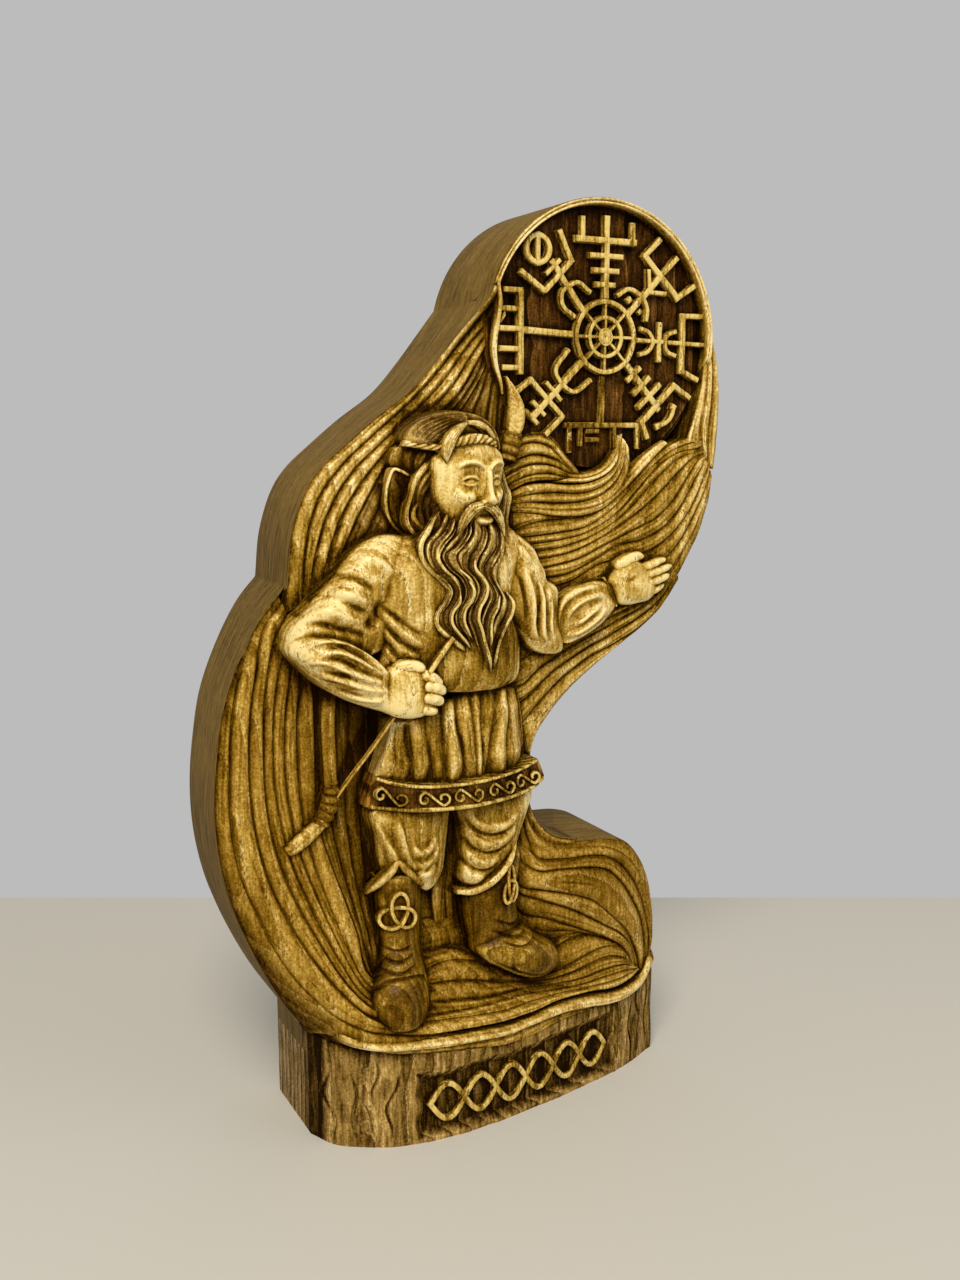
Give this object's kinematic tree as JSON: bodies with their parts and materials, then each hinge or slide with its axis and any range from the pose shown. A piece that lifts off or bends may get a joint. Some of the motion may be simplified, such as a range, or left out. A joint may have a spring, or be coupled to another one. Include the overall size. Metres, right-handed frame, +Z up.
{
  "type": "carved wooden figurine",
  "caption": "Standing wooden relief carving of a bearded archer before a swirl of cloth, with a round compass disc above the shoulder and a flat back and base.",
  "frame": {"origin": "middle of the base's underside, below the board's front face", "axes": "+Z up, the carving faces -Y, its flat back faces +Y"},
  "size_m": [0.1794, 0.0556, 0.3],
  "materials": {
    "walls": "satin varnish over fine milling lines",
    "base": "satin varnish over a brown wash",
    "dark_field": "satin varnish over a brown wash",
    "raised_lines": "satin varnish over a brown wash",
    "bow": "satin varnish over a brown wash",
    "boots": "satin varnish over a brown wash",
    "skin": "satin varnish over a brown wash",
    "hair": "satin varnish over a brown wash",
    "deep_cloth": "satin varnish over a brown wash",
    "cloth": "satin varnish over a brown wash",
    "tunic": "satin varnish over a brown wash"
  },
  "bodies": {
    "root": {"right_fist": "skin", "left_hand": "skin", "bowstring_upper": "bow", "moustache": "hair", "beard": "hair", "headband": "tunic", "hair_crown": "hair", "head": "skin", "hair_right_side": "hair", "hair_left_side": "hair", "hood_flap": "deep_cloth", "right_forearm_sleeve": "tunic", "right_upper_sleeve": "tunic", "left_forearm_sleeve": "tunic", "left_upper_sleeve": "tunic", "torso": "tunic", "hem_band": "tunic", "tunic_skirt": "tunic", "bow_lower_tip": "bow", "bow_lower_binding": "bow", "bow_lower_limb": "bow", "bow_upper_tip": "bow", "bow_upper_binding": "bow", "right_boot_cuff": "boots", "left_boot_cuff": "boots", "right_boot": "boots", "right_boot_knot": "boots", "left_boot": "boots", "left_boot_knot": "boots", "right_trouser_leg": "tunic", "left_trouser_leg": "tunic", "compass_dish": "dark_field", "compass_hub": "raised_lines", "stave_east": "raised_lines", "stave_northeast": "raised_lines", "stave_north": "raised_lines", "stave_northwest": "raised_lines", "stave_west": "raised_lines", "stave_southwest": "raised_lines", "stave_south": "raised_lines", "stave_southeast": "raised_lines", "upper_left_drape": "cloth", "crown_drape": "deep_cloth", "shoulder_drape": "deep_cloth", "wave_crest": "cloth", "second_wave": "cloth", "right_side_drape": "cloth", "right_fan_drape": "cloth", "lower_right_drape": "cloth", "ground_lip": "cloth", "hump_waves": "cloth", "lower_left_drape": "cloth", "right_leg_drape": "deep_cloth", "tunic_tail": "deep_cloth", "ground_swirl": "deep_cloth", "bow_side_drape": "bow", "bowstring_lower": "bow", "back_board": "walls", "base": "base", "base_braid": "raised_lines"}
  },
  "joints": []
}
